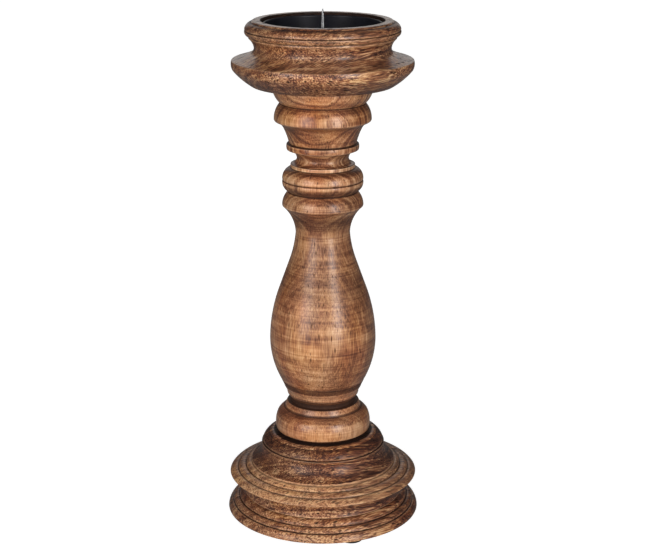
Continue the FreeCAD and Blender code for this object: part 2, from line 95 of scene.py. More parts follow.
# Joints and bores, and the levels that they end at
TENON_RADIUS = 12.0
TENON_EASE = 0.8
LOWER_TENON_END = 36.6
UPPER_TENON_END = 316.2
SOCKET_RADIUS = 12.05
BASE_SOCKET_END = 36.3
CUP_SOCKET_END = 316.5
SCREW_HOLE_RADIUS = 2.55
LOWER_HOLE_END = 75.0
UPPER_HOLE_END = 282.3
COUNTERBORE_RADIUS = 8.5
COUNTERBORE_EASE = 0.5
BASE_COUNTERBORE_END = 15.0
CUP_COUNTERBORE_END = 320.3
RECESS_RADIUS = 40.85
RECESS_EASE = 0.35

# The wood was left bare inside these radii, under the base, and between two levels in the cup. Above
# the upper level, a painted shade reaches a little way down the cup's mouth
BASE_BARE_RADIUS = 28.0
BASE_BARE_LEVEL = 3.05
COLUMN_BARE_RADIUS = 13.0
CUP_BARE_RADIUS = 41.0
CUP_BARE_LEVELS = (307.3, 344.0)

# A dark tone is painted within these radii: round the column's seat as the shadow under the column's foot,
# and inside the cup's mouth as the shade between the wood and the dish
SEAT_SHADE_RADIUS = 34.5
SEAT_SHADE = -0.95
MOUTH_SHADE_RADIUS = 41.5
MOUTH_SHADE = -1

# Wood screws. The start of the thread is counted from the head's face and its stop from the point, and
# the hole ends the gap past the point
HEAD_FACE_RADIUS = 3.7
HEAD_RADIUS = 4.6
HEAD_EASE = 0.9
HEAD_HEIGHT = 2.8
SHANK_CORE = 2.1
POINT_LENGTH = 5.0
POINT_RADIUS = 0.4
THREAD_START = 6.0
THREAD_STOP = 4.5
THREAD_ROOT = 1.95
THREAD_CREST = 2.5
THREAD_FLANK = 0.45
THREAD_PITCH = 2.0
THREAD_STEPS = 32
SCREW_END_GAP = 1.0
CROSS_LENGTH = 5.2
CROSS_WIDTH = 1.1
CROSS_DEPTH = 1.5

# Washers
WASHER_THICKNESS = 1.0
SCREW_WASHER_RADIUS = 7.5
SCREW_WASHER_HOLE = 2.8
PRICKET_WASHER_RADIUS = 5.0

# The dish: its sheet, the rounding outside its foot, and the points (radius, level, bow) of the lip that
# is rolled outwards and of the ring that is pressed up in its floor
DISH_SHEET = 0.9
DISH_FOOT_RADIUS = 35.6
DISH_FOOT_EASE = 3.2
DISH_LIP = (
    (39.38, 346.7, 0),
    (39.8, 347.12, -QUARTER_ROUND),
    (40.1, 347.2, 0.05),
    (38.75, 348.0, 0.42),
    (38.5, 347.1, 0.1),
)
DISH_RING = ((24.6, 329.0, 0), (24.0, 329.3, -0.1), (22.6, 329.3, 0.1), (22.0, 329.0, -0.1))

# The spike: its riveted tail, its shank in the dish's floor, its collar and its long cone
RIVET_END = 325.9
RIVET_END_RADIUS = 1.5
RIVET_RADIUS = 3.0
PRICKET_SHANK = 1.8
PRICKET_HOLE = 1.85
COLLAR_RADIUS = 3.6
COLLAR_TOP = 330.3
COLLAR_EASE = 0.6
SPIKE_ROOT_RADIUS = 2.6
CONE_START = 331.2
CONE_RADIUS = 2.35
SPIKE_END = 357.3
SPIKE_END_RADIUS = 0.4

# Foot pads and their nails
PAD_COUNT = 4
PAD_CIRCLE = 57.0
FIRST_PAD_TURN = math.radians(-70)
PAD_RADIUS = 8.0
PAD_FOOT_EASE = 0.7
PAD_TOP_EASE = 0.4
NAIL_RECESS_RADIUS = 2.9
NAIL_RECESS_DEPTH = 1.4
NAIL_FACE_LEVELS = (0.6, 0.68)
NAIL_FACE_RADIUS = 1.9
NAIL_HEAD_RADIUS = 2.3
NAIL_HEAD_EASE_END = 1.05
NAIL_SHANK = 0.8
NAIL_HOLE = 0.85
NAIL_END = 9.9
NAIL_POINT_LENGTH = 2.0

# The studio, in metres: the white floor, how much of the backdrop shows in a gloss, the sky's light, and
# how the floor's glow goes from one strength to another between two distances
FLOOR_WIDTH = 40
GLOSS_BACKDROP = 0.05
SKY_LIGHT = 0.05
GLOW_REACH = (0.2, 0.8)
GLOW = (0.93, 1.0)

# The lamps' colour, a little warm, as linear red, green and blue, and for each lamp its place, the point
# that it shines at, its width and height in metres, its power in watts, and if a gloss shows it
LAMP_COLOUR = (1.0, 0.96, 0.93)
LAMPS = {
    "softbox_left": ((-0.82, -0.98, 0.44), (0, 0, 0.2), 0.6, 1.1, 6.4, True),
    "softbox_right": ((0.70, -1.06, 0.46), (0, 0, 0.2), 0.4, 1.1, 8.2, True),
    "softbox_front": ((-0.25, -1.55, 0.42), (0, 0, 0.14), 1.0, 0.6, 13.6, False),
    "softbox_back": ((0, 1.35, 0.75), (0, 0, 0.2), 1.1, 0.9, 1.75, True),
}

# The camera, as solved from the ellipses of the turned rings; its film and lens are in millimetres
CAMERA_PLACE = (0.0015, -1.0487, 0.4856)
CAMERA_DIP = math.radians(16.559)
FILM_WIDTH = 36.0
LENS = 87.535

# Turned members from the bottom of each piece up: the radius at the member's top, its height, how far
# its face bows as a share of its chord, outwards if the share is plus and inwards if it is minus, and
# its tone, from -1 where the dark wax was left in to 1 and more where the stain was rubbed thin. The
# tones also hold painted light: deep recesses are painted dark as shade, and members that catch the
# light are painted lighter as a highlight
BASE_FOOT_RADIUS = 67.69
BASE_MEMBERS = {
    "land": (67.69, 0.4, 0, 0),
    "rim_bead": (64.7, 5.3, 0.1, 0.25),
    "outer_bead": (60.4, 3.3, 0.12, -0.05),
    "inner_bead": (55.7, 3.7, 0.12, -0.05),
    "scotia": (66.3, 13.9, -0.3, -0.2),
    "edge_bead": (60.9, 3.8, 0.09, 0.6),
    "middle_bead": (55.2, 2.1, 0.07, 0.5),
    "top_bead": (51.3, 2.7, 0.07, 0.5),
    # The ridge's light tone is a painted highlight along its arris as well as rubbed stain
    "ridge": (50.3, 1.0, 0.2, 1.3),
    "cove": (43.1, 11.2, -0.14, -0.3),
    "fillet": (43.4, 1.8, 0.1, -0.2),
    "nick": (42.4, 0.6, 0, -0.85),
    "arris": (42.8, 0.6, 0, 0.2),
    "torus": (38.1, 5.6, 0.09, -0.4),
    "seat_step": (37.7, 0.2, 0, -0.7),
    "seat_bead": (35.2, 1.4, 0.12, 0.1),
}
BASE_LINES = ("rim_bead", "outer_bead", "inner_bead", "edge_bead", "middle_bead", "top_bead")

COLUMN_FOOT_RADIUS = 29.5
COLUMN_MEMBERS = {
    # The recess's dark tone is a painted shadow in the gap over the base
    "foot_recess": (30.0, 1.6, 0, -0.95),
    "foot_lip": (32.9, 0.8, 0, -0.3),
    "foot_torus": (31.8, 11.4, 0.083, 0.2),
    "shoulder": (28.0, 3.6, 0.05, -0.1),
    "foot_nick": (27.0, 0.7, 0, -0.9),
    "band_step": (26.6, 0.8, 0, -0.7),
    "band": (25.0, 3.4, 0.03, 0.1),
    "band_groove": (22.8, 0.8, 0, -0.95),
    # These two hollows' dark tones are a painted shade in the deep groove below the ankle
    "ankle_hollow": (23.1, 2.78, -0.0687, -1),
    "ankle_cove": (24.8, 2.22, -0.0687, -0.68),
    "ankle": (25.2, 2.1, 0.05, -0.35),
    "calf": (27.05, 3.7, -0.02, 0.45),
    "calf_band": (29.0, 4.4, -0.02, -0.68),
    "calf_nick": (28.8, 0.2, 0, -0.75),
    "calf_arris": (29.1, 0.3, 0, 0.6),
    "belly": (36.9, 31.0, 0.065, -0.15),
    "breast": (29.6, 36.9, 0.043, -0.12),
    "taper": (23.3, 17.5, 0, -0.32),
    "waist": (18.67, 20.6, -0.034, -0.22),
    "flare_foot": (19.673, 6.29, -0.0297, -0.3),
    "flare": (27.4, 12.51, -0.0695, -0.6),
    "bead_lip": (27.8, 0.8, 0.1, -0.1),
    "bead": (23.6, 9.2, 0.105, -0.25),
    "ring_groove": (23.6, 0.4, 0, -1),
    "ring_low": (28.1, 7.65, 0.164, -0.64),
    "ring_high": (22.6, 8.45, 0.165, 0.25),
    "ring_step": (21.9, 0.2, 0, -0.6),
    "neck_band": (21.9, 2.4, 0.03, 0.3),
    "neck_step": (21.2, 0.1, 0, -0.7),
    "neck_low": (17.6, 3.9, -0.155, -0.1),
    "neck_high": (24.4, 6.0, -0.19, -0.4),
    "bell_band": (24.5, 3.8, 0.07, -0.2),
    "bell_step": (22.9, 0.6, 0, -0.9),
    "bell": (26.8, 10.8, -0.03, -0.22),
    "bell_lip": (32.2, 4.3, -0.1, -0.3),
    "collar_lip": (33.0, 1.5, 0.15, -0.1),
    "collar_bead": (28.9, 10.7, 0.092, 0.15),
    "collar_groove": (29.0, 0.2, 0, -0.6),
    "collar": (34.0, 9.3, 0.085, 0.3),
    "head": (34.0, 2.7, 0, 0.3),
}
COLUMN_LINES = ("ring_low",)

CUP_FOOT_RADIUS = 48.0
CUP_MEMBERS = {
    "bowl": (60.3, 10.45, 0.04, -0.3),
    "edge": (60.85, 6.1, 0.105, 0.15),
    "disc": (48.0, 4.45, -0.02, 0.05),
    "cove": (45.8, 3.9, -0.15, 0.35),
    "flare": (49.9, 7.15, -0.09, 0.15),
    "roll_low": (52.6, 4.45, 0.15, 0.35),
    "roll": (48.0, 5.0, 0.155, 0.2),
    "land_nick": (47.6, 0.1, 0, -0.6),
    "land_step": (47.3, 0.5, 0, -0.3),
    "land": (46.4, 0.7, 0, 0.1),
}
CUP_LINES = ("flare", "roll_low")


def member_strokes(foot_radius, foot_level, members, scored):
    """Give a turned piece's outline from its foot to its top as strokes (radius, level, bow).

    The members named in scored end in a V-line, cut square to the member's face.
    """
    strokes = [(foot_radius, foot_level, 0)]
    corner = Vector((foot_radius, foot_level))
    below = None
    for name, (radius, height, bow, _) in members.items():
        end = Vector((radius, corner.y + height))
        along = (end - corner).normalized()
        if below:
            face = (below + along).normalized()
            strokes.append((*(corner + Vector((-face.y, face.x)) * LINE_DEPTH), 0))
            strokes.append((*(corner + along * LINE_HALF_WIDTH), 0))
        if name in scored:
            strokes.append((*(end - along * LINE_HALF_WIDTH), bow))
            below = along
        else:
            strokes.append((*end, bow))
            below = None
        corner = end
    return strokes


def member_tone(level, foot_level, members):
    """Give the tone of the member at a level, faded into the next one unless one is dark with wax and painted
    shade.
    """
    rows = list(members.values())
    for (_, height, _, tone), (_, _, _, tone_above) in zip(rows, rows[1:] + rows[-1:]):
        foot_level += height
        if level < foot_level:
            fade = min(FADE, height / 2)
            share = max(0.0, 1 - (foot_level - level) / fade)
            if min(tone, tone_above) > WAX_AND_SHADE_TONE:
                tone += (tone_above - tone) * share
            return tone
    return rows[-1][3]


def start_point(name, radius, level):
    """Start a piece as the first point of its outline, and leave it in edit mode."""
    bpy.ops.object.select_all(action="DESELECT")
    bpy.ops.mesh.primitive_plane_add(size=MM, enter_editmode=True)
    piece = bpy.context.object
    piece.name = name
    piece.data.name = name
    bpy.ops.mesh.merge(type="CENTER")
    bpy.ops.transform.translate(value=(radius * MM, 0, level * MM))
    return piece


def draw_strokes(strokes):
    """Draw an outline from its first point. It goes up on the outside, so a bow of plus is a crown.

    A bow is an arc that leaves the chord by that share of it.
    """
    start = Vector((strokes[0][0], 0, strokes[0][1]))
    for radius, level, bow in strokes[1:]:
        end = Vector((radius, 0, level))
        chord = end - start
        if bow:
            share = abs(bow)
            sweep = 4 * math.atan(2 * share)
            arc_radius = chord.length * (1 / (8 * share) + share / 2)
            left = Vector((-chord.z, 0, chord.x)).normalized()
            centre = (start + end) / 2 + left * math.copysign(arc_radius - share * chord.length, bow)
            bpy.ops.mesh.spin(
                steps=max(ARC_STEPS, math.ceil(arc_radius * sweep / STROKE_LENGTH)),
                angle=math.copysign(sweep, bow),
                center=centre * MM,
                axis=(0, 1, 0),
            )
        else:
            bpy.ops.mesh.extrude_region_move(TRANSFORM_OT_translate={"value": chord * MM})
        start = end


def draw_outline(name, strokes):
    """Draw a new piece's outline, weld its ends if they meet, and leave it in edit mode."""
    piece = start_point(name, strokes[0][0], strokes[0][1])
    draw_strokes(strokes)
    bpy.ops.mesh.select_all(action="SELECT")
    bpy.ops.mesh.remove_doubles(threshold=WELD_DISTANCE)
    return piece


def outline_walk(mesh):
    """List an outline's points in order, anticlockwise with the axis on the left, and say if it is closed."""
    joined = {vertex.index: [] for vertex in mesh.vertices}
    for edge in mesh.edges:
        one, other = edge.vertices
        joined[one].append(other)
        joined[other].append(one)
    ends = [index for index, near in joined.items() if len(near) == 1]
    walk = [ends[0] if ends else 0]
    seen = set(walk)
    while True:
        onward = [index for index in joined[walk[-1]] if index not in seen]
        if not onward:
            break
        walk.append(onward[0])
        seen.add(onward[0])
    points = [mesh.vertices[index].co for index in walk]
    area = sum(a.x * b.z - b.x * a.z for a, b in zip(points, points[1:] + points[:1]))
    if area < 0:
        walk.reverse()
    return walk, not ends


def corner_eases(mesh):
    """Find the outline's sharp corners, and how far each may be eased, in millimetres."""
    walk, closed = outline_walk(mesh)
    points = [mesh.vertices[index].co / MM for index in walk]
    eases = {}
    last = len(points) - 1
    for number, point in enumerate(points):
        if not closed and number in (0, last):
            continue
        before = point - points[number - 1]
        after = points[(number + 1) % len(points)] - point
        if before.angle(after) > CORNER_ANGLE:
            room = EASE_SHARE * min(before.length, after.length)
            fitting = [ease for ease in EASES if ease <= room]
            if fitting:
                eases.setdefault(fitting[0], []).append(point * MM)
    return eases


def ease_corners():
    """Round the outline's corners a little, as sanding does, each as far as its neighbours allow."""
    bpy.ops.object.mode_set(mode="OBJECT")
    mesh = bpy.context.object.data
    for ease, corners in corner_eases(mesh).items():
        bpy.ops.object.mode_set(mode="EDIT")
        bpy.ops.mesh.select_all(action="DESELECT")
        bpy.ops.object.mode_set(mode="OBJECT")
        for vertex in mesh.vertices:
            vertex.select = any((vertex.co - corner).length < WELD_DISTANCE for corner in corners)
        bpy.ops.object.mode_set(mode="EDIT")
        bpy.ops.mesh.bevel(offset_type="OFFSET", offset=ease * MM, segments=EASE_SEGMENTS, affect="VERTICES")
        bpy.ops.object.mode_set(mode="OBJECT")
    bpy.ops.object.mode_set(mode="EDIT")


def halve_long_strokes(is_bare):
    """Halve the straight strokes until none is longer than one may be, but not where the wood is bare."""
    bpy.ops.mesh.select_mode(type="EDGE")
    while True:
        bpy.ops.mesh.select_all(action="DESELECT")
        bpy.ops.object.mode_set(mode="OBJECT")
        mesh = bpy.context.object.data
        found = False
        for edge in mesh.edges:
            ends = [mesh.vertices[index].co for index in edge.vertices]
            inside = all(is_bare(end.x / MM, end.z / MM) for end in ends)
            edge.select = (ends[0] - ends[1]).length > LONGEST_STROKE * MM and not inside
            found = found or edge.select
        bpy.ops.object.mode_set(mode="EDIT")
        if not found:
            break
        bpy.ops.mesh.subdivide(number_cuts=1)
    bpy.ops.mesh.select_mode(type="VERT")


def relief(points, closed, span):
    """Say how proud each point of an outline stands of the line round it, or how deep it lies.

    Its neighbours count by a bell curve over their way along the line, and the outcome is a share of
    the span.
    """
    count = len(points)
    lengths = [(points[(n + 1) % count] - points[n]).length for n in range(count)]
    reach = SPANS_COUNTED * span
    heights = []
    for number, point in enumerate(points):
        total = 1.0
        mean = point.copy()
        for way in (1, -1):
            travelled = 0.0
            here = number
            while True:
                there = here + way
                if not closed and not 0 <= there < count:
                    break
                step = lengths[(here if way > 0 else there) % count]
                travelled += step
                if travelled > reach:
                    break
                weight = step / span * math.exp(-0.5 * (travelled / span) ** 2)
                mean += points[there % count] * weight
                total += weight
                here = there
        ahead = points[(number + 1) % count] if closed or number + 1 < count else point
        behind = points[number - 1] if closed or number > 0 else point
        along = (ahead - behind).normalized()
        outward = Vector((along.z, 0, -along.x))
        heights.append((point - mean / total).dot(outward) / span)
    return heights


def mark_outline(is_bare, tone_at):
    """Write on the outline where wax gathers and shade is painted, where arrises wear and a highlight is
    painted, where the wood is bare, and its tone.
    """
    bpy.ops.object.mode_set(mode="OBJECT")
    mesh = bpy.context.object.data
    walk, closed = outline_walk(mesh)
    points = [mesh.vertices[index].co / MM for index in walk]
    fine = relief(points, closed, FINE_SPAN)
    broad = relief(points, closed, BROAD_SPAN)
    tones = [tone_at(point.x, point.z) for point in points]
    marks = {
        "groove": [max(0.0, -height) for height in fine],
        "arris": [max(0.0, height) if tone > WAX_AND_SHADE_TONE else 0.0 for height, tone in zip(fine, tones)],
        "hollow": [max(0.0, -height) for height in broad],
        "bare": [float(is_bare(point.x, point.z)) for point in points],
        "tone": tones,
    }
    for mark, values in marks.items():
        layer = mesh.attributes.new(mark, "FLOAT", "POINT")
        for index, value in zip(walk, values):
            layer.data[index].value = value
    bpy.ops.object.mode_set(mode="EDIT")


def sweep_round(piece, steps):
    """Sweep the drawn outline once round the axis, and close the seam and the poles."""
    bpy.ops.object.mode_set(mode="OBJECT")
    sweep = piece.modifiers.new("sweep", "SCREW")
    sweep.steps = steps
    sweep.render_steps = steps
    sweep.use_merge_vertices = True
    sweep.merge_threshold = WELD_DISTANCE
    bpy.ops.object.modifier_apply(modifier=sweep.name)
    bpy.ops.object.mode_set(mode="EDIT")
    bpy.ops.mesh.select_all(action="SELECT")
    bpy.ops.mesh.remove_doubles(threshold=WELD_DISTANCE)
    bpy.ops.mesh.normals_make_consistent(inside=False)
    bpy.ops.object.mode_set(mode="OBJECT")
    bpy.ops.object.shade_smooth_by_angle(angle=SMOOTH_ANGLE)


def turned_wood(name, strokes, is_bare, tone_at):
    """Turn a wooden piece from its outline."""
    piece = draw_outline(name, strokes)
    ease_corners()
    halve_long_strokes(is_bare)
    mark_outline(is_bare, tone_at)
    sweep_round(piece, SWEEP_STEPS)
    return piece


def small_round_piece(name, strokes):
    """Turn, press or mould a small round piece from its outline."""
    piece = draw_outline(name, strokes)
    ease_corners()
    sweep_round(piece, SMALL_SWEEP_STEPS)
    return piece


def choose(*pieces):
    """Select these pieces alone, with the first as the active one."""
    bpy.ops.object.select_all(action="DESELECT")
    for piece in pieces:
        piece.select_set(True)
    bpy.context.view_layer.objects.active = pieces[0]


def copy_piece(piece, name):
    """Copy a piece, with a mesh of its own."""
    choose(piece)
    bpy.ops.object.duplicate(linked=False)
    copy = bpy.context.object
    copy.name = name
    copy.data.name = name
    return copy


def shift_mesh(piece, x, y):
    """Move a piece's mesh, and leave its object at the origin."""
    choose(piece)
    bpy.ops.object.mode_set(mode="EDIT")
    bpy.ops.mesh.select_all(action="SELECT")
    bpy.ops.transform.translate(value=(x * MM, y * MM, 0))
    bpy.ops.object.mode_set(mode="OBJECT")


def finish_piece(piece, material, body, node):
    """Give a piece its finish, and say what it moves with and what it stands for."""
    piece.data.materials.clear()
    piece.data.materials.append(material)
    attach(piece, body)
    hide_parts(node)


def linear_colour(text):
    """Turn an sRGB hex value into the linear colour that a shader takes."""
    channels = [int(text[start:start + 2], 16) / 255 for start in (1, 3, 5)]
    linear = [c / 12.92 if c <= 0.04045 else ((c + 0.055) / 1.055) ** 2.4 for c in channels]
    return (*linear, 1.0)


def add_node(tree, kind, inputs=(), output=0, stops=None, **settings):
    """Add a node with its settings and links, and give one of its outputs, or all of them for None.

    The inputs come in order, or by name or number in a dict. Each is a value, a hex colour or the
    output that feeds it.
    """
    node = tree.nodes.new(kind)
    for name, value in settings.items():
        setattr(node, name, value)
    for socket, value in inputs.items() if isinstance(inputs, dict) else enumerate(inputs):
        if isinstance(value, bpy.types.NodeSocket):
            tree.links.new(value, node.inputs[socket])
        elif isinstance(value, str):
            node.inputs[socket].default_value = linear_colour(value)
        else:
            node.inputs[socket].default_value = value
    if stops:
        ramp = node.color_ramp
        while len(ramp.elements) < len(stops):
            ramp.elements.new(1.0)
        for element, (place, colour) in zip(ramp.elements, stops):
            element.position = place
            element.color = linear_colour(colour)
    return node.outputs if output is None else node.outputs[output]


def new_material(name):
    """Start a material, and give its node tree and its surface shader."""
    material = bpy.data.materials.new(name)
    material.use_nodes = True
    tree = material.node_tree
    return material, tree, tree.nodes["Principled BSDF"]


# How large the parts of the grain are, in millimetres, across it twice and along it. So that they show,
# sanding marks 0.1 mm wide are drawn up to 0.7 mm wide, and pores 0.3 mm wide up to 1 mm
SWAY_CELL = (48, 48, 110)
STREAK_CELL = (4.5, 4.5, 55)
CURL_CELL = (30, 30, 4.5)
PATCH_CELL = (26, 26, 70)
PORE_CELL = (1.5, 1.5, 7)
SANDING_CELL = 1.4
PORE_DEPTH = 0.15
SANDING_HEIGHT = 0.04

# The tone between dark and light wood, how dark a pore is, and the shine of the wood and its wax
MIDDLE_TONE = 0.52
PORE_DARKNESS = 0.88
WOOD_IOR = 1.47
WAX_IOR = 1.5
WAX_ROUGHNESS = 0.27


def grown_space(tree, point, grain, pith, sway):
    """Give a point's place in its trunk, in millimetres: across the grain from the pith, and along it.

    The trunk sways, so its rings wander a few millimetres over SWAY_CELL.
    """
    turn = Vector(grain).rotation_difference(Vector((0, 0, 1)))
    wood = add_node(tree, "ShaderNodeMapping", {
        "Vector": point,
        "Rotation": turn.to_euler(),
        "Location": -(turn @ Vector(pith)),
    })
    cell = add_node(tree, VECTOR, (wood, SWAY_CELL), operation="DIVIDE")
    swing = add_node(tree, NOISE, {"Vector": cell, "Scale": 1.0, "Roughness": 0.6}, output="Color")
    swing = add_node(tree, VECTOR, (swing, (0.5, 0.5, 0.5)), operation="SUBTRACT")
    swing = add_node(tree, VECTOR, (swing, (sway, sway, 0)), operation="MULTIPLY")
    return add_node(tree, VECTOR, (wood, swing), operation="ADD")


def mango_grain(tree, grown, level, figure):
    """Give the strengths, from 0 to 1, of all that shows in the wood, by name."""
    # Growth rings, some millimetres wide with finer lines in them
    across = add_node(tree, VECTOR, (grown, (1, 1, 0)), operation="MULTIPLY")
    ring_radius = add_node(tree, VECTOR, (across,), output="Value", operation="LENGTH")
    count = add_node(tree, MATH, (ring_radius, figure["ring_width"]), operation="DIVIDE")
    rings = add_node(tree, NOISE, {"W": count, "Scale": 1.0, "Detail": 3.0, "Roughness": 0.62},
                     noise_dimensions="1D")

    # Sanding marks run round the piece
    count = add_node(tree, MATH, (level, SANDING_CELL), operation="DIVIDE")
    turning = add_node(tree, NOISE, {"W": count, "Scale": 1.0, "Detail": 3.0, "Roughness": 0.7},
                       noise_dimensions="1D")
    shown = {"rings": rings, "turning": turning}

    # Streaks are bundles of fibres, curl is waves across the grain, and patches are wood of another tone,
    # some of it more golden and some redder
    for name, cell, detail, roughness in (
        ("fibres", figure["fibre_cell"], 3.0, 0.7),
        ("streaks", STREAK_CELL, 3.0, 0.6),
        ("curl", CURL_CELL, 2.0, 0.6),
        ("patches", PATCH_CELL, 2.0, 0.6),
    ):
        cell = add_node(tree, VECTOR, (grown, cell), operation="DIVIDE")
        noise = add_node(tree, NOISE, {"Vector": cell, "Scale": 1.0, "Detail": detail,
                                       "Roughness": roughness}, output=None)
        shown[name] = noise["Fac"]
    hues = add_node(tree, "ShaderNodeSeparateColor", (noise["Color"],), output=None)
    shown["gold"], shown["red"] = hues[1], hues[2]

    # Pores are long ovals, large in some cells and missing from others
    cell = add_node(tree, VECTOR, (grown, PORE_CELL), operation="DIVIDE")
    cells = add_node(tree, "ShaderNodeTexVoronoi", {"Vector": cell, "Scale": 1.0}, output=None)
    size = add_node(tree, RANGE, (cells["Color"], 0.35, 0.9, 0.0, figure["pore_size"]))
    depth = add_node(tree, MATH, (size, cells["Distance"]), operation="SUBTRACT")
    shown["pores"] = add_node(tree, RANGE, (depth, -0.04, 0.12))
    return shown


def crack_lines(tree, point, marks):
    """Draw small cracks and nicks: each a dark line from a start to an end, with its half width."""
    cracks = None
    for start, end, half_width in marks:
        start, end = Vector(start), Vector(end)
        reach = (end - start) / (end - start).length_squared
        away = add_node(tree, VECTOR, (point, start), operation="SUBTRACT")
        share = add_node(tree, VECTOR, (away, reach), output="Value", operation="DOT_PRODUCT")
        share = add_node(tree, MATH, (share, 1.0), operation="MULTIPLY", use_clamp=True)
        nearest = add_node(tree, VECTOR, {0: end - start, "Scale": share}, operation="SCALE")
        gap = add_node(tree, VECTOR, (away, nearest), output="Value", operation="DISTANCE")
        crack = add_node(tree, RANGE, (gap, half_width, half_width * 0.4))
        cracks = add_node(tree, MATH, (cracks, crack), operation="MAXIMUM") if cracks else crack
    return cracks


def wood_tone(tree, point, level, normal, grain, shown, turned_tone, figure):
    """Add up how light the wood is: each part of the grain about its middle, end grain, and a painted light
    that makes one side of the piece lighter or darker.
    """
    along = add_node(tree, VECTOR, (normal, Vector(grain).normalized()), output="Value",
                     operation="DOT_PRODUCT")
    along = add_node(tree, MATH, (along,), operation="ABSOLUTE")
    tone = add_node(tree, MATH, (along, figure["end_grain"], MIDDLE_TONE), operation="MULTIPLY_ADD")
    strengths = {name: figure[name] for name in ("fibres", "streaks", "curl", "turning", "patches")}
    strengths["rings"] = add_node(tree, RANGE, (level, *figure["ring_levels"], *figure["rings"]))
    for name, strength in strengths.items():
        off_middle = add_node(tree, MATH, (shown[name], 0.5), operation="SUBTRACT")
        tone = add_node(tree, MATH, (off_middle, strength, tone), operation="MULTIPLY_ADD")
    tone = add_node(tree, MATH, (turned_tone, TONE_SHARE, tone), operation="MULTIPLY_ADD")
    # One side of the piece is painted lighter or darker, as light and shade
    outward = add_node(tree, VECTOR, (point, figure["painted_light_side"]), output="Value", operation="DOT_PRODUCT")
    painted_light = add_node(tree, RANGE, (outward, *figure["painted_light_reach"], *figure["painted_light"]))
    return add_node(tree, MATH, (tone, painted_light), operation="ADD")


